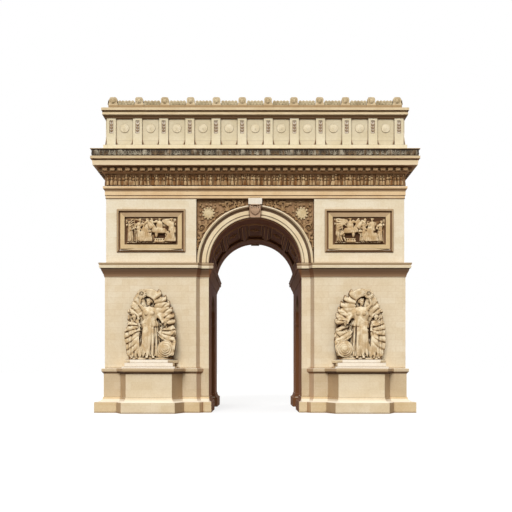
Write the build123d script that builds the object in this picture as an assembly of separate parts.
"""A four-pier triumphal arch in dressed limestone, modelled at half of its real size.

The long way through runs along Y under a coffered barrel vault, and a lower way crosses it along X.
X runs along the wide fronts, Y through the main passage, Z up, with the origin on the ground at the centre.
All sizes are in millimetres. Mouldings are given as (projection, height) pairs from the face they run round.
"""

import os
from math import cos, pi, radians, sin

from build123d import *

os.makedirs("parts", exist_ok=True)

# ---- plan ----
BODY_HALF_LENGTH = 11200
BODY_HALF_DEPTH = 5550
PASSAGE_HALF_WIDTH = 3480
SIDE_PASSAGE_HALF_WIDTH = 2110
STRIP_WIDTH = 670  # flat strip that frames the main passage
STRIP_RECESS = 300
STRIP_CANT = 250  # slanting return between the strip and the pier's face
UPPER_SETBACK = 75  # the upper wall stands back from the piers below it
ATTIC_SETBACK = 60
ATTIC_WALL = 1000
CREST_SETBACK = 85
CREST_THICKNESS = 350

# ---- heights, each stacked on the one before ----
PLINTH_HEIGHT = 1150
DADO_HEIGHT = 1710
CAP_HEIGHT = 410
SHAFT_HEIGHT = 6780
IMPOST_HEIGHT = 1050
ARCHITRAVE_HEIGHT = 910
FRIEZE_HEIGHT = 940
CORNICE_HEIGHT = 1630
ATTIC_HEIGHT = 2500
ATTIC_CORNICE_HEIGHT = 790
CREST_BAND_HEIGHT = 280
PALMETTE_HEIGHT = 350
POST_HEIGHT = 860

# ---- podium and pedestals ----
PLINTH_PROJECTION = 650
PASSAGE_PLINTH_PROJECTION = 230  # the plinths stand less far into the two passages
PLINTH_FACE_HEIGHT = 780
DADO_PROJECTION = 70
CAP_PROJECTION = 140
PEDESTAL_DEPTH = 1250
PEDESTAL_HALF_WIDTH = 1630
PEDESTAL_SPLAY = 620  # how much wider each side is where it meets the wall
PEDESTAL_OFFSET = 80  # pedestals stand a little nearer the passage than the pier's middle
PEDESTAL_PLINTH_PROJECTION = 500
PEDESTAL_CAP_PROJECTION = 300
PEDESTAL_STEPS = ((130, 290), (270, 120))  # height and projection of each step above the cap
SLAB_HEIGHT = 230
SLAB_HALF_WIDTH = 1380

# ---- sculpture groups ----
GROUP_HEIGHT = 5350
GROUP_HALF_WIDTH = 1900
GROUP_BACKING = 330
GROUP_FRONT = 940
EGG_WAIST = 0.46  # height of the widest part of a group's outline, as a share of the whole
SUNK = 0.017  # share of its height that a mass runs into the wall and the slab before it is trimmed
# Height and radius of each level of a figure, as shares of its height.
STANDING = ((0.52, 0.112), (0.79, 0.098), (0.865, 0.042), (0.895, 0.046), (0.945, 0.062), (0.99, 0.04))
SEATED = ((0.4, 0.21), (0.46, 0.155), (0.76, 0.132), (0.84, 0.055), (0.87, 0.06), (0.93, 0.09), (0.99, 0.06))

# ---- arches ----
FASCIA_WIDTHS = (200, 310)  # two flat rings of the main archivolt, from the opening outwards
COVE_WIDTH = 210
ARCHIVOLT_MARGIN = 20
FASCIA_PROJECTION = 200
FASCIA_STEP = 50
COVE_PROJECTION = 60
ARCHIVOLT_PROJECTION = 290
VAULT_THICKNESS = 770
COFFER_COUNT = 5
COFFER_PITCH = 30
COFFER_ANGLE = 25.5
COFFER_HALF_LENGTH = 2850
COFFER_FRAME = 190
COFFER_SINKING = 90
VAULT_COVER = 580  # masonry between the vault's back and the architrave
SIDE_ARCH_COVER = 710  # masonry between the cross passage's crown and the impost
SIDE_ARCHIVOLT_WIDTH = 590
SIDE_ARCHIVOLT_PROJECTION = 150
SIDE_IMPOST_HEIGHT = 420
SIDE_IMPOST_PROJECTION = 130
KEYSTONE_FOOT_WIDTH = 740
KEYSTONE_HEAD_WIDTH = 900
KEYSTONE_PROJECTION = 480
KEYSTONE_CAP_HEIGHT = 460
KEYSTONE_CAP_OVERHANG = 60
KEYSTONE_DROP = 70  # the keystone hangs a little below the crown
SIDE_KEYSTONE_WIDTH = 620
SIDE_KEYSTONE_PROJECTION = 330

# ---- relief panels ----
RELIEF_WIDTH = 5100
SIDE_RELIEF_WIDTH = 6200
RELIEF_HEIGHT = 3200
RELIEF_SILL = 840  # above the impost
RELIEF_POCKET = 260
RELIEF_PROUD = 60
RELIEF_BORDERS = (120, 140, 310, 120)  # fillet, groove, raised band, inner margin
RELIEF_DEPTHS = (0, 170, 20, 190)  # of the same, below the fillet's face
RELIEF_FIELD_DEPTH = 100

# ---- entablature ----
DENTIL_WIDTH = 330
DENTIL_HEIGHT = 200
DENTIL_PITCH = 555
DENTIL_BACKING = 300  # projection of the band that the dentils stand on
DENTIL_PROJECTION = 560
DENTIL_FOOT = 100  # height of the bed mould below the dentils
CORONA_FOOT = 430
CORONA_PROJECTION = 850
BAND_RECESS = 90  # the upper band stands back between its fillets

# ---- attic ----
ATTIC_FLARE = 150
ATTIC_FLARE_HEIGHT = 1120
FRONT_BAYS = 11
SIDE_BAYS = 5
PILASTER_WIDTH = 670
PILASTER_PROJECTION = 90
PILASTER_PANEL_WIDTH = 290
PILASTER_PANEL_HEIGHT = 960
PILASTER_PANEL_DEPTH = 50
SHIELD_RADIUS = 295
SHIELD_PROJECTION = 90
SHIELD_DROP = 700  # from the attic cornice down to a shield's centre
TERRACE_DROP = 250  # the terrace lies below the attic cornice's top
TERRACE_THICKNESS = 380
POST_WIDTH = 720
POST_TOP_WIDTH = 570
POST_PROUD = 50
PALMETTES_PER_BAY = 5
PALMETTE_OVERLAP = 1.1  # neighbouring leaves grow into one another

# ---- what follows from them ----
FRONT, BACK, LEFT, RIGHT = -1, 1, -1, 1
STRIP_EDGE = PASSAGE_HALF_WIDTH + STRIP_WIDTH
FACE_EDGE = STRIP_EDGE + STRIP_CANT
STRIP_Y = BODY_HALF_DEPTH - STRIP_RECESS
UPPER_HALF_LENGTH = BODY_HALF_LENGTH - UPPER_SETBACK
UPPER_HALF_DEPTH = BODY_HALF_DEPTH - UPPER_SETBACK
SPANDREL_Y = UPPER_HALF_DEPTH - STRIP_RECESS
ATTIC_HALF_LENGTH = UPPER_HALF_LENGTH - ATTIC_SETBACK
ATTIC_HALF_DEPTH = UPPER_HALF_DEPTH - ATTIC_SETBACK
CREST_HALF_LENGTH = ATTIC_HALF_LENGTH - CREST_SETBACK
CREST_HALF_DEPTH = ATTIC_HALF_DEPTH - CREST_SETBACK
PEDESTAL_X = (FACE_EDGE + BODY_HALF_LENGTH) / 2 - PEDESTAL_OFFSET
RELIEF_X = (FACE_EDGE + UPPER_HALF_LENGTH) / 2

DADO_Z = PLINTH_HEIGHT
CAP_Z = DADO_Z + DADO_HEIGHT
PODIUM_Z = CAP_Z + CAP_HEIGHT
GROUP_Z = PODIUM_Z + sum(height for height, _ in PEDESTAL_STEPS) + SLAB_HEIGHT
IMPOST_Z = PODIUM_Z + SHAFT_HEIGHT
SPRINGING_Z = IMPOST_Z + IMPOST_HEIGHT
CROWN_Z = SPRINGING_Z + PASSAGE_HALF_WIDTH
ARCHITRAVE_Z = CROWN_Z + VAULT_THICKNESS + VAULT_COVER
FRIEZE_Z = ARCHITRAVE_Z + ARCHITRAVE_HEIGHT
CORNICE_Z = FRIEZE_Z + FRIEZE_HEIGHT
ATTIC_Z = CORNICE_Z + CORNICE_HEIGHT
ATTIC_CORNICE_Z = ATTIC_Z + ATTIC_HEIGHT
CREST_Z = ATTIC_CORNICE_Z + ATTIC_CORNICE_HEIGHT
TERRACE_Z = CREST_Z - TERRACE_DROP - TERRACE_THICKNESS
SIDE_CROWN_Z = IMPOST_Z - SIDE_ARCH_COVER
SIDE_SPRINGING = SIDE_CROWN_Z - SIDE_PASSAGE_HALF_WIDTH


# ---- shapes that the whole arch is made from ----
def block(x, y, z):
    """A plain block between two values along each axis."""
    size = (abs(x[1] - x[0]), abs(y[1] - y[0]), abs(z[1] - z[0]))
    return Pos((x[0] + x[1]) / 2, (y[0] + y[1]) / 2, (z[0] + z[1]) / 2) * Box(*size)


def mitred(plan, out, still, shallow, share):
    """The corners of a plan moved out by one distance; still sides stay, shallow ones move by a share."""
    sides = []
    for index, (start, end) in enumerate(zip(plan, plan[1:] + plan[:1])):
        run = (Vector(*end) - Vector(*start)).normalized()
        shift = 0 if index in still else out * (share if index in shallow else 1)
        sides.append((Vector(*start) + Vector(run.Y, -run.X) * shift, run))
    corners = []
    for (first, along), (second, onward) in zip(sides[-1:] + sides[:-1], sides):
        gap = second - first
        turn = along.X * onward.Y - along.Y * onward.X
        corners.append(first + along * ((gap.X * onward.Y - gap.Y * onward.X) / turn))
    return corners


def course(plan, profile, still=(), shallow=(), share=1):
    """A block of masonry whose moulded sides follow a profile of (projection, height) round a plan."""
    rings = []
    for out, z in profile:
        rings.append([Vector(c.X, c.Y, z) for c in mitred(plan, out, still, shallow, share)])
    faces = [Face(Wire.make_polygon(rings[0][::-1])), Face(Wire.make_polygon(rings[-1]))]
    for low, high in zip(rings, rings[1:]):
        for index in range(len(plan)):
            after = (index + 1) % len(plan)
            side = [low[index], low[after], high[after], high[index]]
            faces.append(Face(Wire.make_polygon(side)))
    return Solid(Shell(faces))


def ogee(start, end, steps=4):
    """Points of an S-curved moulding between two (projection, height) pairs, hollow at its foot."""
    points = []
    for step in range(steps + 1):
        share = step / steps
        swing = (1 - cos(pi * share)) / 2
        points.append((start[0] + (end[0] - start[0]) * swing, start[1] + (end[1] - start[1]) * share))
    return points


def quarter(start, end, steps=4):
    """Points of a quarter-round moulding between two (projection, height) pairs, bulging at its head."""
    points = []
    for step in range(steps + 1):
        angle = pi / 2 * step / steps
        points.append((start[0] + (end[0] - start[0]) * (1 - cos(angle)),
                       start[1] + (end[1] - start[1]) * sin(angle)))
    return points


def rectangle_plan(half_length, half_depth):
    """A plan centred on the origin, from its front left corner round to the right."""
    return [(-half_length, -half_depth), (half_length, -half_depth),
            (half_length, half_depth), (-half_length, half_depth)]


def arch_ring(profile):
    """Half a ring over the main passage: an outline of (radius, y) points turned about the springing line."""
    outline = Face(Wire.make_polygon([Vector(radius, y, 0) for radius, y in profile]))
    ring = revolve(outline, axis=Axis((0, 0, 0), (0, -1, 0)), revolution_arc=180)
    return Pos(0, 0, SPRINGING_Z) * ring


def placed(solid, end, face):
    """A solid modelled for the front right quarter, carried to another quarter by mirroring."""
    if end == LEFT:
        solid = mirror(solid, about=Plane.YZ)
    if face == BACK:
        solid = mirror(solid, about=Plane.XZ)
    return solid


def write(name, *solids):
    """Writes one named piece, or several like ones that don't touch, as a STEP file."""
    pieces = [solid for item in solids for solid in item.solids()]
    shape = pieces[0] if len(pieces) == 1 else Compound(children=pieces)
    shape.label = name
    export_step(shape, f"parts/{name}.step")


QUARTERS = {
    "front_left": (LEFT, FRONT),
    "front_right": (RIGHT, FRONT),
    "back_left": (LEFT, BACK),
    "back_right": (RIGHT, BACK),
}


# ---- piers ----
def pier_plan():
    """Front right pier: passage corner, strip, slanting return, main face, end, side passage."""
    return [(PASSAGE_HALF_WIDTH, -STRIP_Y), (STRIP_EDGE, -STRIP_Y), (FACE_EDGE, -BODY_HALF_DEPTH),
            (BODY_HALF_LENGTH, -BODY_HALF_DEPTH), (BODY_HALF_LENGTH, -SIDE_PASSAGE_HALF_WIDTH),
            (PASSAGE_HALF_WIDTH, -SIDE_PASSAGE_HALF_WIDTH)]


PASSAGE_SIDES = (0, 4, 5)  # the pier plan's sides on the strip and on the two passages
INNER_SIDES = (4, 5)  # the pier plan's sides on the two passages


def plinth_profile(projection):
    """A square foot with a rounded weathering above it."""
    weathering = quarter((DADO_PROJECTION + CAP_PROJECTION / 4, PLINTH_HEIGHT),
                         (projection, PLINTH_FACE_HEIGHT))
    return [(projection, 0)] + weathering[::-1]


def podium_profile(projection):
    """Plain dado and the moulded cap above it, up to the podium's top."""
    dado = DADO_PROJECTION
    lip = dado + projection
    curve = ogee((dado, CAP_Z), (lip - 10, CAP_Z + CAP_HEIGHT / 2 - 20))
    return [(dado, DADO_Z)] + curve + [(lip, CAP_Z + CAP_HEIGHT / 2), (lip, PODIUM_Z - 30), (lip - 30, PODIUM_Z)]


def pier_base():
    """Plinth round every side, then the podium, which stays flush with the passages."""
    share = PASSAGE_PLINTH_PROJECTION / PLINTH_PROJECTION
    plinth = course(pier_plan(), plinth_profile(PLINTH_PROJECTION), shallow=INNER_SIDES, share=share)
    podium = course(pier_plan(), podium_profile(CAP_PROJECTION), still=PASSAGE_SIDES)
    return plinth + podium


def pedestal_plan(narrow=PEDESTAL_HALF_WIDTH, splay=PEDESTAL_SPLAY):
    """Splayed plan of a group's pedestal, widest at the wall."""
    front = BODY_HALF_DEPTH + PEDESTAL_DEPTH
    wide = narrow + splay
    return [(PEDESTAL_X - narrow, -front), (PEDESTAL_X + narrow, -front),
            (PEDESTAL_X + wide, -BODY_HALF_DEPTH), (PEDESTAL_X - wide, -BODY_HALF_DEPTH)]


PEDESTAL_BACK = (2,)


def pedestal():
    """Plinth, die and cap in line with the podium's, two steps, and the slab that carries the group."""
    plan = pedestal_plan()
    foot = course(plan, plinth_profile(PEDESTAL_PLINTH_PROJECTION), still=PEDESTAL_BACK)
    die = course(plan, podium_profile(PEDESTAL_CAP_PROJECTION), still=PEDESTAL_BACK)
    body = foot + die
    low = PODIUM_Z
    straight = pedestal_plan(splay=0)
    for height, out in PEDESTAL_STEPS:
        body += course(straight, [(out, low), (out, low + height)], still=PEDESTAL_BACK)
        low += height
    slab = pedestal_plan(SLAB_HALF_WIDTH)
    body += course(slab, [(0, low), (0, GROUP_Z - 40), (-40, GROUP_Z)], still=PEDESTAL_BACK)
    return body - pier_base()


def pier():
    """Plain shaft from the podium to the impost."""
    return course(pier_plan(), [(0, PODIUM_Z), (0, IMPOST_Z)])


# ---- sculpture groups, in their own frame: across, out from the wall, up from the slab ----
def spot(across, out, up):
    """A place in a group, as shares of its half-width, its front and its height."""
    return Vector(across * GROUP_HALF_WIDTH, -out * GROUP_FRONT, up * GROUP_HEIGHT)


def stack(*levels):
    """An eight-sided mass through level outlines, each (across, out, up, radius) in shares."""
    outlines = []
    for across, out, up, radius in levels:
        plane = Plane(origin=spot(across, out, up))
        outlines.append((plane * RegularPolygon(radius * GROUP_HEIGHT, 8)).wire())
    return Solid.make_loft(outlines, ruled=True)


def disc(across, up, radius, back, face, taper):
    """A twelve-sided plate that faces out from the wall, smaller at its face."""
    outlines = []
    for out, size in ((back, radius), (face, radius * taper)):
        plane = Plane(origin=spot(across, out, up), x_dir=(1, 0, 0), z_dir=(0, -1, 0))
        outlines.append((plane * RegularPolygon(size * GROUP_HEIGHT, 12)).wire())
    return Solid.make_loft(outlines, ruled=True)


def flat_shape(points, back, thickness):
    """A flat plate parallel to the wall, from (across, up) points in turn."""
    outline = Face(Wire.make_polygon([Vector(across, -back, up) for across, up in points]))
    return Solid.extrude(outline, Vector(0, -thickness, 0))


def egg_curve(reach, start, end, count):
    """Points along the group's upright egg, at a share of its size, between two angles."""
    middle = GROUP_HEIGHT * EGG_WAIST
    points = []
    for step in range(count + 1):
        angle = radians(start + (end - start) * step / count)
        across = GROUP_HALF_WIDTH * reach * cos(angle)
        points.append((across, middle + (GROUP_HEIGHT - middle) * reach * sin(angle)))
    return points


def backing_and_wings():
    """The rounded mass of stone behind the figures, two raised wings that meet over it, and its rock."""
    foot = GROUP_HALF_WIDTH * 0.8
    trim = GROUP_HEIGHT * SUNK
    outline = egg_curve(1, -40, 220, 12) + [(-foot, -trim), (foot, -trim)]
    backing = flat_shape(outline, -trim, GROUP_BACKING + trim)
    arch = egg_curve(0.97, 4, 176, 10) + egg_curve(0.63, 171, 9, 8)
    wings = flat_shape(arch, GROUP_BACKING * 0.8, GROUP_BACKING)
    ledge = GROUP_HEIGHT * 0.04
    rock = flat_shape([(-foot, -trim), (foot, -trim), (foot * 0.93, ledge), (-foot * 0.93, ledge)],
                      -trim, GROUP_FRONT + trim)
    return backing, wings, rock


def standing_figure(across, out, height, lean):
    """Long-robed upright figure: skirt, waist, shoulders, neck and head."""
    levels = [(across + lean * up, out, height * up, height * radius) for up, radius in STANDING]
    return stack((across, out, -SUNK, height * 0.14), *levels)


def seated_figure(side, across, out, height):
    """Draped figure sitting on a rock, and the fall of cloth over its knees."""
    levels = [(across, out, height * up, height * radius) for up, radius in SEATED]
    body = stack((across, out, -SUNK, height * 0.25), *levels)
    knees = across + side * 0.11
    lap = stack((knees, out + 0.16, -SUNK, height * 0.15), (knees, out + 0.15, height * 0.47, height * 0.125),
                (across, out + 0.04, height * 0.62, height * 0.07))
    return body, lap


def group(side):
    """A winged figure holding up a wreath, between a companion with a staff and a seated one."""
    figures = [standing_figure(-side * 0.02, 0.62, 0.81, side * 0.05)]
    figures.append(standing_figure(side * 0.6, 0.55, 0.6, side * 0.03))
    figures.extend(seated_figure(-side, -side * 0.6, 0.55, 0.53))
    raised = stack((side * 0.13, 0.64, 0.638, 0.027), (side * 0.41, 0.69, 0.752, 0.021),
                   (side * 0.34, 0.68, 0.858, 0.017))
    lowered = stack((-side * 0.1, 0.64, 0.661, 0.027), (-side * 0.41, 0.71, 0.583, 0.021),
                    (-side * 0.48, 0.83, 0.507, 0.017))
    staff = stack((side * 0.79, 0.72, -SUNK, 0.013), (side * 0.815, 0.66, 0.659, 0.011))
    helper = stack((side * 0.81, 0.7, 0.412, 0.017), (side * 0.71, 0.58, 0.492, 0.021))
    wreath = disc(side * 0.33, 0.897, 0.054, 0.5, 0.78, 0.94) - disc(side * 0.33, 0.897, 0.027, 0.4, 0.9, 1)
    shield = disc(side * 0.27, 0.126, 0.107, 0.7, 0.99, 0.7)
    backing, wings, rock = backing_and_wings()
    body = backing.fuse(wings, rock, *figures, raised, lowered, staff, helper, wreath, shield)
    reach = 2 * GROUP_HALF_WIDTH
    return body & block((-reach, reach), (-2 * GROUP_FRONT, 0), (0, GROUP_HEIGHT))


# ---- the cross passage ----
def side_arch():
    """Masonry over the right half of the cross passage, with its barrel vault cut out."""
    half = SIDE_PASSAGE_HALF_WIDTH
    mass = block((PASSAGE_HALF_WIDTH, BODY_HALF_LENGTH), (-half, half), (SIDE_SPRINGING, IMPOST_Z))
    length = BODY_HALF_LENGTH - PASSAGE_HALF_WIDTH
    middle = (BODY_HALF_LENGTH + PASSAGE_HALF_WIDTH) / 2
    vault = Pos(middle, 0, SIDE_SPRINGING) * Rot(0, 90, 0) * Cylinder(half, 2 * length)
    return mass - vault


def side_keystone():
    """Tapered stone at the crown of the cross passage's outer arch."""
    foot = SIDE_KEYSTONE_WIDTH / 2
    head = foot * 1.25
    outline = [Vector(0, -foot, SIDE_CROWN_Z), Vector(0, foot, SIDE_CROWN_Z),
               Vector(0, head, IMPOST_Z), Vector(0, -head, IMPOST_Z)]
    stone = extrude(Face(Wire.make_polygon(outline)), amount=SIDE_KEYSTONE_PROJECTION, dir=(1, 0, 0))
    return Pos(BODY_HALF_LENGTH, 0, 0) * stone


def side_archivolt():
    """Moulded ring round the cross passage's outer arch, in two steps."""
    inner = SIDE_PASSAGE_HALF_WIDTH
    outer = inner + SIDE_ARCHIVOLT_WIDTH
    step = inner + SIDE_ARCHIVOLT_WIDTH * 0.6
    out = SIDE_ARCHIVOLT_PROJECTION
    steps = [(0, inner), (out * 0.6, inner), (out * 0.6, step), (out, step), (out, outer), (0, outer)]
    outline = Face(Wire.make_polygon([Vector(x, radius, 0) for x, radius in steps]))
    ring = revolve(outline, axis=Axis((0, 0, 0), (1, 0, 0)), revolution_arc=180)
    return Pos(BODY_HALF_LENGTH, 0, SIDE_SPRINGING) * ring - side_keystone()


def side_impost():
    """Small moulding on the cross passage's jamb, returned on the outer face under the archivolt."""
    near = SIDE_PASSAGE_HALF_WIDTH
    far = near + SIDE_ARCHIVOLT_WIDTH
    low = SIDE_SPRINGING - SIDE_IMPOST_HEIGHT
    lip = SIDE_IMPOST_PROJECTION
    plan = [(PASSAGE_HALF_WIDTH, -far), (BODY_HALF_LENGTH, -far), (BODY_HALF_LENGTH, -near),
            (PASSAGE_HALF_WIDTH, -near)]
    curve = ogee((0, low), (lip * 0.8, low + SIDE_IMPOST_HEIGHT * 0.5))
    profile = curve + [(lip, low + SIDE_IMPOST_HEIGHT * 0.6), (lip, SIDE_SPRINGING)]
    return course(plan, profile, still=(0, 3)) - pier()


# ---- imposts and upper walls ----
def impost():
    """Moulded course round the top of the right pair of piers."""
    front = pier_plan()[:4]
    back = [(x, -y) for x, y in front[::-1]]
    lip = 340
    sweep = ogee((50, IMPOST_Z + 60), (lip - 90, IMPOST_Z + 640))
    fillet = [(lip, IMPOST_Z + 660), (lip + 30, IMPOST_Z + 820), (lip, IMPOST_Z + 850)]
    head = [(lip + 70, SPRINGING_Z - 30), (lip + 40, SPRINGING_Z)]
    return course(front + back, [(30, IMPOST_Z), (30, IMPOST_Z + 50)] + sweep + fillet + head)


def relief_pockets():
    """The recesses in the right upper wall that take the framed reliefs."""
    low = SPRINGING_Z + RELIEF_SILL
    level = (low, low + RELIEF_HEIGHT)
    across = (RELIEF_X - RELIEF_WIDTH / 2, RELIEF_X + RELIEF_WIDTH / 2)
    front = block(across, (-UPPER_HALF_DEPTH, RELIEF_POCKET - UPPER_HALF_DEPTH), level)
    inside = UPPER_HALF_LENGTH - RELIEF_POCKET
    end = block((inside, UPPER_HALF_LENGTH), (-SIDE_RELIEF_WIDTH / 2, SIDE_RELIEF_WIDTH / 2), level)
    return front, placed(front, RIGHT, BACK), end


def upper_wall():
    """Plain wall over the right pair of piers."""
    wall = block((FACE_EDGE, UPPER_HALF_LENGTH), (-UPPER_HALF_DEPTH, UPPER_HALF_DEPTH),
                 (SPRINGING_Z, ARCHITRAVE_Z))
    for pocket in relief_pockets():
        wall -= pocket
    return wall


def relief(width):
    """A framed panel, facing -Y, with its pocket's back at y = 0 and its foot at z = 0."""
    total = RELIEF_POCKET + RELIEF_PROUD
    panel = block((-width / 2, width / 2), (-total, 0), (0, RELIEF_HEIGHT))
    inset = 0
    levels = list(zip(RELIEF_BORDERS, RELIEF_DEPTHS)) + [(0, RELIEF_FIELD_DEPTH)]
    carved = None
    for border, depth in levels:
        half = width / 2 - inset
        layer = block((-half, half), (depth - total, 0), (inset, RELIEF_HEIGHT - inset))
        if carved is not None:
            opening = block((-half, half), (-total, 0), (inset, RELIEF_HEIGHT - inset))
            carved = carved - opening + layer
        else:
            carved = panel & layer
        inset += border
    return carved


# ---- vault, spandrels and archivolts over the main passage ----
def main_vault():
    """Half-round barrel with a row of deep stepped coffers across its middle."""
    inner = PASSAGE_HALF_WIDTH
    outer = inner + VAULT_THICKNESS
    vault = arch_ring([(inner, -SPANDREL_Y), (outer, -SPANDREL_Y), (outer, SPANDREL_Y), (inner, SPANDREL_Y)])
    first = 90 - COFFER_PITCH * (COFFER_COUNT - 1) / 2
    frame_angle = COFFER_ANGLE * COFFER_FRAME / (inner * radians(COFFER_ANGLE))
    for depth, trim in ((COFFER_SINKING, 0), (2 * COFFER_SINKING, 1)):
        half = COFFER_HALF_LENGTH - trim * COFFER_FRAME
        angle = COFFER_ANGLE - 2 * trim * frame_angle
        outline = [Vector(inner - COFFER_SINKING, -half, 0), Vector(inner + depth, -half, 0),
                   Vector(inner + depth, half, 0), Vector(inner - COFFER_SINKING, half, 0)]
        cutter = revolve(Face(Wire.make_polygon(outline)), axis=Axis((0, 0, 0), (0, -1, 0)), revolution_arc=angle)
        for index in range(COFFER_COUNT):
            turn = first + index * COFFER_PITCH - angle / 2
            vault -= Pos(0, 0, SPRINGING_Z) * Rot(0, -turn, 0) * cutter
    return vault


def spandrel_wall():
    """The mass of masonry over the vault, between the two upper walls."""
    outer = PASSAGE_HALF_WIDTH + VAULT_THICKNESS
    mass = block((-FACE_EDGE, FACE_EDGE), (-SPANDREL_Y, SPANDREL_Y), (SPRINGING_Z, ARCHITRAVE_Z))
    return mass - Pos(0, 0, SPRINGING_Z) * Rot(90, 0, 0) * Cylinder(outer, 4 * SPANDREL_Y)


def keystone():
    """Tapered front keystone with a square cap right under the architrave."""
    foot = KEYSTONE_FOOT_WIDTH / 2
    head = KEYSTONE_HEAD_WIDTH / 2
    cap_z = ARCHITRAVE_Z - KEYSTONE_CAP_HEIGHT
    cap_y = SPANDREL_Y + KEYSTONE_PROJECTION
    low = CROWN_Z - KEYSTONE_DROP
    outline = [Vector(-foot, 0, low), Vector(foot, 0, low), Vector(head, 0, cap_z), Vector(-head, 0, cap_z)]
    body = extrude(Face(Wire.make_polygon(outline)), amount=KEYSTONE_PROJECTION - 40, dir=(0, -1, 0))
    half = head + KEYSTONE_CAP_OVERHANG
    cap = block((-half, half), (-cap_y - KEYSTONE_CAP_OVERHANG, -SPANDREL_Y), (cap_z, ARCHITRAVE_Z))
    return Pos(0, -SPANDREL_Y, 0) * body + cap


def archivolt():
    """Front ring of the main arch: two flat fascias, a deep cove and a rounded outer moulding."""
    first = PASSAGE_HALF_WIDTH + FASCIA_WIDTHS[0]
    second = first + FASCIA_WIDTHS[1]
    cove = second + COVE_WIDTH
    outer = FACE_EDGE - ARCHIVOLT_MARGIN
    middle = (cove + outer) / 2
    steps = [(PASSAGE_HALF_WIDTH, 0), (PASSAGE_HALF_WIDTH, FASCIA_PROJECTION), (first, FASCIA_PROJECTION),
             (first, FASCIA_PROJECTION + FASCIA_STEP), (second, FASCIA_PROJECTION + FASCIA_STEP),
             (second, COVE_PROJECTION), (cove, COVE_PROJECTION + FASCIA_STEP), (cove, ARCHIVOLT_PROJECTION - 60),
             (middle, ARCHIVOLT_PROJECTION), (outer, ARCHIVOLT_PROJECTION - 60), (outer, 0)]
    ring = arch_ring([(radius, -SPANDREL_Y - out) for radius, out in steps])
    return ring - keystone()


# ---- entablature ----
def architrave():
    """Two plain fascias and a crowning moulding, right round the building."""
    low = ARCHITRAVE_Z
    split = low + 225
    crown = low + ARCHITRAVE_HEIGHT - 350
    fascias = [(40, low), (40, split), (80, split + 10), (80, crown)]
    moulding = ogee((95, crown + 10), (185, crown + 165), steps=3)
    head = [(200, crown + 175), (200, FRIEZE_Z - 30), (150, FRIEZE_Z)]
    return course(rectangle_plan(UPPER_HALF_LENGTH, UPPER_HALF_DEPTH), fascias + moulding + head)


FRIEZE_PROJECTION = 60


def frieze():
    """Flat band that carries the procession in relief."""
    plan = rectangle_plan(UPPER_HALF_LENGTH, UPPER_HALF_DEPTH)
    return course(plan, [(FRIEZE_PROJECTION, FRIEZE_Z), (FRIEZE_PROJECTION, CORNICE_Z)])


def cornice():
    """Bed mould, backing of the dentils, wide soffit, corona, and the deep band above it."""
    low = CORNICE_Z
    corona = low + CORONA_FOOT
    bed = quarter((FRIEZE_PROJECTION + 30, low), (DENTIL_BACKING - 10, low + DENTIL_FOOT - 5), steps=2)
    backing = [(DENTIL_BACKING, low + DENTIL_FOOT), (DENTIL_BACKING, corona - 20)]
    face = [(CORONA_PROJECTION - 36, corona), (CORONA_PROJECTION, corona + 330)]
    quirk = [(CORONA_PROJECTION - 70, corona + 340), (CORONA_PROJECTION - 70, corona + 430)]
    fillet = [(CORONA_PROJECTION + 110, corona + 440), (CORONA_PROJECTION + 110, corona + 630)]
    band_face = CORONA_PROJECTION + 110 - BAND_RECESS
    band = [(band_face, corona + 645), (band_face, ATTIC_Z - 60)]
    top = [(CORONA_PROJECTION + 120, ATTIC_Z - 50), (CORONA_PROJECTION + 120, ATTIC_Z - 20),
           (CORONA_PROJECTION + 60, ATTIC_Z)]
    plan = rectangle_plan(UPPER_HALF_LENGTH, UPPER_HALF_DEPTH)
    return course(plan, bed + backing + face + quirk + fillet + band + top)


def dentil_row(half_run):
    """Evenly spaced places of the dentils along one side, symmetrical about its middle."""
    count = int(2 * half_run // DENTIL_PITCH) + 1
    return [(index - (count - 1) / 2) * DENTIL_PITCH for index in range(count)]


def dentils():
    """All the dentils, front and back, then the two ends."""
    level = (CORNICE_Z + DENTIL_FOOT, CORNICE_Z + DENTIL_FOOT + DENTIL_HEIGHT)
    half = DENTIL_WIDTH / 2
    length = UPPER_HALF_LENGTH + DENTIL_BACKING - half
    depth = UPPER_HALF_DEPTH + DENTIL_BACKING - half
    out = DENTIL_PROJECTION - DENTIL_BACKING
    blocks = []
    for side in (-1, 1):
        face = side * (UPPER_HALF_DEPTH + DENTIL_BACKING)
        for x in dentil_row(length):
            blocks.append(block((x - half, x + half), sorted((face, face + side * out)), level))
        face = side * (UPPER_HALF_LENGTH + DENTIL_BACKING)
        for y in dentil_row(depth):
            blocks.append(block(sorted((face, face + side * out)), (y - half, y + half), level))
    return blocks


# ---- attic ----
def attic_profile():
    """Flared foot, then a plain upright face."""
    return [(ATTIC_FLARE, ATTIC_Z), (ATTIC_FLARE * 0.3, ATTIC_Z + ATTIC_FLARE_HEIGHT * 0.6),
            (0, ATTIC_Z + ATTIC_FLARE_HEIGHT), (0, ATTIC_CORNICE_Z)]


def front_attic_wall():
    """Full-length wall of the hall in the attic, flared at the front and at both ends."""
    inside = ATTIC_HALF_DEPTH - ATTIC_WALL
    plan = [(-ATTIC_HALF_LENGTH, -ATTIC_HALF_DEPTH), (ATTIC_HALF_LENGTH, -ATTIC_HALF_DEPTH),
            (ATTIC_HALF_LENGTH, -inside), (-ATTIC_HALF_LENGTH, -inside)]
    return course(plan, attic_profile(), still=(2,))


def end_attic_wall():
    """Right end wall, between the two long walls."""
    side = ATTIC_HALF_DEPTH - ATTIC_WALL
    inside = ATTIC_HALF_LENGTH - ATTIC_WALL
    plan = [(inside, -side), (ATTIC_HALF_LENGTH, -side), (ATTIC_HALF_LENGTH, side), (inside, side)]
    return course(plan, attic_profile(), still=(0, 2, 3))


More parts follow.
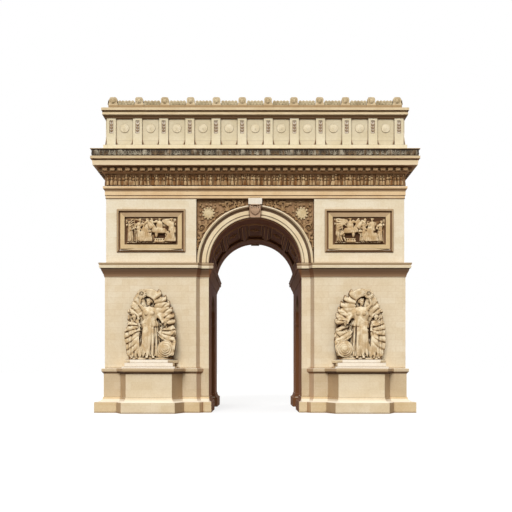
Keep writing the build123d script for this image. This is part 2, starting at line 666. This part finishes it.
def bay_edges(half_run, bays):
    """Centres of the pilasters along one side, with the outer pair flush with the corners."""
    pitch = (2 * half_run - PILASTER_WIDTH) / bays
    return [(index - bays / 2) * pitch for index in range(bays + 1)]


def bay_middles(half_run, bays):
    """Centres of the panels between those pilasters."""
    edges = bay_edges(half_run, bays)
    return [(first + second) / 2 for first, second in zip(edges, edges[1:])]


def attic_pilaster():
    """One flat pilaster facing -Y, its back on y = 0, with a flared foot and a sunk panel."""
    foot = ATTIC_FLARE + PILASTER_PROJECTION
    knee = ATTIC_FLARE * 0.3 + PILASTER_PROJECTION
    flare = ATTIC_Z + ATTIC_FLARE_HEIGHT
    waist = ATTIC_Z + ATTIC_FLARE_HEIGHT * 0.6
    outline = [Vector(0, -foot, ATTIC_Z), Vector(0, -knee, waist), Vector(0, -PILASTER_PROJECTION, flare),
               Vector(0, -PILASTER_PROJECTION, ATTIC_CORNICE_Z), Vector(0, 0, ATTIC_CORNICE_Z),
               Vector(0, 0, flare), Vector(0, -ATTIC_FLARE * 0.3, waist), Vector(0, -ATTIC_FLARE, ATTIC_Z)]
    shaft = extrude(Face(Wire.make_polygon(outline)), amount=PILASTER_WIDTH / 2, dir=(1, 0, 0), both=True)
    half = PILASTER_PANEL_WIDTH / 2
    top = ATTIC_CORNICE_Z - PILASTER_PANEL_WIDTH / 2
    sunk = (-PILASTER_PROJECTION, PILASTER_PANEL_DEPTH - PILASTER_PROJECTION)
    return shaft - block((-half, half), sunk, (top - PILASTER_PANEL_HEIGHT, top))


def attic_shield():
    """One domed round shield facing -Y, its back on y = 0."""
    rim = Cylinder(SHIELD_RADIUS, SHIELD_PROJECTION / 2, align=(Align.CENTER, Align.CENTER, Align.MIN))
    dome = Cone(SHIELD_RADIUS * 0.8, SHIELD_RADIUS * 0.35, SHIELD_PROJECTION / 2,
                align=(Align.CENTER, Align.CENTER, Align.MIN))
    shield = rim + Pos(0, 0, SHIELD_PROJECTION / 2) * dome
    return Pos(0, 0, ATTIC_CORNICE_Z - SHIELD_DROP) * Rot(90, 0, 0) * shield


def around_attic(piece, places, half_length, half_depth):
    """Copies of a piece that faces -Y on all four sides: places(half_run, bays) gives where they go."""
    copies = []
    for x in places(ATTIC_HALF_LENGTH, FRONT_BAYS):
        copies.append(Pos(x, -half_depth, 0) * piece)
        copies.append(Rot(0, 0, 180) * Pos(x, -half_depth, 0) * piece)
    for y in places(ATTIC_HALF_DEPTH, SIDE_BAYS):
        copies.append(Rot(0, 0, 90) * Pos(y, -half_length, 0) * piece)
        copies.append(Rot(0, 0, -90) * Pos(y, -half_length, 0) * piece)
    return copies


def attic_cornice():
    """Hollow sweep, two fillets with a groove between them, and a sloping top, round the terrace."""
    low = ATTIC_CORNICE_Z
    sweep = [(PILASTER_PROJECTION, low)] + ogee((PILASTER_PROJECTION + 20, low + 20), (270, low + 210), steps=3)
    fillets = [(300, low + 220), (300, low + 390), (200, low + 400), (200, low + 520),
               (360, low + 530), (360, low + 720), (100, CREST_Z)]
    ring = course(rectangle_plan(ATTIC_HALF_LENGTH, ATTIC_HALF_DEPTH), sweep + fillets)
    length = ATTIC_HALF_LENGTH - ATTIC_WALL
    depth = ATTIC_HALF_DEPTH - ATTIC_WALL
    return ring - block((-length, length), (-depth, depth), (low, CREST_Z))


def terrace():
    """Stone floor over the attic hall."""
    length = ATTIC_HALF_LENGTH - ATTIC_WALL
    depth = ATTIC_HALF_DEPTH - ATTIC_WALL
    return block((-length, length), (-depth, depth), (TERRACE_Z, TERRACE_Z + TERRACE_THICKNESS))


# ---- crest ----
def crest_post():
    """One post at the middle of its own foot, its back on y = 0, with a spreading foot and a rounded head."""
    foot = POST_WIDTH / 2
    head = POST_TOP_WIDTH / 2
    shoulder = POST_HEIGHT * 0.82
    rounding = quarter((head, shoulder), (head * 0.45, POST_HEIGHT), steps=3)
    right = [(foot, 0), (foot, CREST_BAND_HEIGHT), (head, POST_HEIGHT * 0.56), *rounding]
    left = [(-across, up) for across, up in right[::-1]]
    return flat_shape(right + left, 0, CREST_THICKNESS + POST_PROUD)


def crest_bay(width):
    """The wall between two posts: a plain band under a row of round-headed palmettes, its back on y = 0."""
    leaf = width / PALMETTES_PER_BAY / 2
    lobe = leaf * PALMETTE_OVERLAP
    stem = CREST_BAND_HEIGHT + PALMETTE_HEIGHT - lobe
    outline = Pos(0, stem / 2) * Rectangle(width, stem)
    for index in range(PALMETTES_PER_BAY):
        outline += Pos(leaf * (2 * index + 1) - width / 2, stem) * Circle(lobe)
    outline &= Pos(0, stem) * Rectangle(width, 2 * stem)
    return extrude(Plane.XZ * outline, amount=CREST_THICKNESS)


def crest_run(half_run, bays):
    """One side of the crest, its back on y = 0: posts, and a bay between each pair of them."""
    pitch = (2 * half_run - POST_WIDTH) / bays
    post = crest_post()
    bay = crest_bay(pitch - POST_WIDTH)
    posts = [Pos((index - bays / 2) * pitch, 0, CREST_Z) * post for index in range(bays + 1)]
    infill = [Pos((index + 0.5 - bays / 2) * pitch, 0, CREST_Z) * bay for index in range(bays)]
    return posts[0].fuse(*posts[1:], *[piece.solid() for piece in infill])


def front_crest():
    """The long run, with the corner posts."""
    return Pos(0, CREST_THICKNESS - CREST_HALF_DEPTH, 0) * crest_run(CREST_HALF_LENGTH, FRONT_BAYS)


def end_crest():
    """The right-hand short run, which ends against the corner posts of the long ones."""
    run = Pos(0, CREST_THICKNESS - CREST_HALF_LENGTH, 0) * crest_run(CREST_HALF_DEPTH, SIDE_BAYS)
    inner = CREST_HALF_DEPTH - CREST_THICKNESS
    keep = block((-inner, inner), (-2 * CREST_HALF_LENGTH, 0), (CREST_Z, CREST_Z + 2 * POST_HEIGHT))
    return Rot(0, 0, 90) * (run & keep)


# ---- every piece, by name ----
base = pier_base()
stand = pedestal()
shaft = pier()
for quarter_name, (end, face) in QUARTERS.items():
    write(f"{quarter_name}_base", placed(base, end, face))
    write(f"{quarter_name}_pedestal", placed(stand, end, face))
    write(f"{quarter_name}_pier", placed(shaft, end, face))

groups = {end: Pos(end * PEDESTAL_X, -BODY_HALF_DEPTH, GROUP_Z) * group(end) for end in (LEFT, RIGHT)}
for quarter_name, (end, face) in QUARTERS.items():
    write(f"{quarter_name}_group", placed(groups[end], RIGHT, face))

for name, maker in (("side_arch", side_arch), ("impost", impost), ("upper_wall", upper_wall)):
    piece = maker()
    write(f"right_{name}", piece)
    write(f"left_{name}", placed(piece, LEFT, FRONT))

write("side_archivolts", side_archivolt(), placed(side_archivolt(), LEFT, FRONT))
jamb = side_impost()
write("side_imposts", *[placed(jamb, end, face) for end, face in QUARTERS.values()])
front_stone = keystone()
side_stone = side_keystone()
write("keystones", front_stone, placed(front_stone, RIGHT, BACK), side_stone, placed(side_stone, LEFT, FRONT))

relief_z = SPRINGING_Z + RELIEF_SILL
front_relief = Pos(RELIEF_X, RELIEF_POCKET - UPPER_HALF_DEPTH, relief_z) * relief(RELIEF_WIDTH)
for quarter_name, (end, face) in QUARTERS.items():
    write(f"{quarter_name}_relief", placed(front_relief, end, face))
end_relief = Rot(0, 0, 90) * Pos(0, RELIEF_POCKET - UPPER_HALF_LENGTH, relief_z) * relief(SIDE_RELIEF_WIDTH)
write("end_reliefs", end_relief, placed(end_relief, LEFT, FRONT))

write("main_vault", main_vault())
write("spandrel_wall", spandrel_wall())
front_archivolt = archivolt()
write("main_archivolts", front_archivolt, placed(front_archivolt, RIGHT, BACK))

write("architrave", architrave())
write("frieze", frieze())
write("cornice", cornice())
write("dentils", *dentils())

long_wall = front_attic_wall()
write("front_attic_wall", long_wall)
write("back_attic_wall", placed(long_wall, RIGHT, BACK))
short_wall = end_attic_wall()
write("right_attic_wall", short_wall)
write("left_attic_wall", placed(short_wall, LEFT, FRONT))
write("attic_pilasters", *around_attic(attic_pilaster(), bay_edges, ATTIC_HALF_LENGTH, ATTIC_HALF_DEPTH))
write("attic_shields", *around_attic(attic_shield(), bay_middles, ATTIC_HALF_LENGTH, ATTIC_HALF_DEPTH))
write("attic_cornice", attic_cornice())
write("terrace", terrace())

long_crest = front_crest()
write("front_crest", long_crest)
write("back_crest", Rot(0, 0, 180) * long_crest)
short_crest = end_crest()
write("right_crest", short_crest)
write("left_crest", Rot(0, 0, 180) * short_crest)
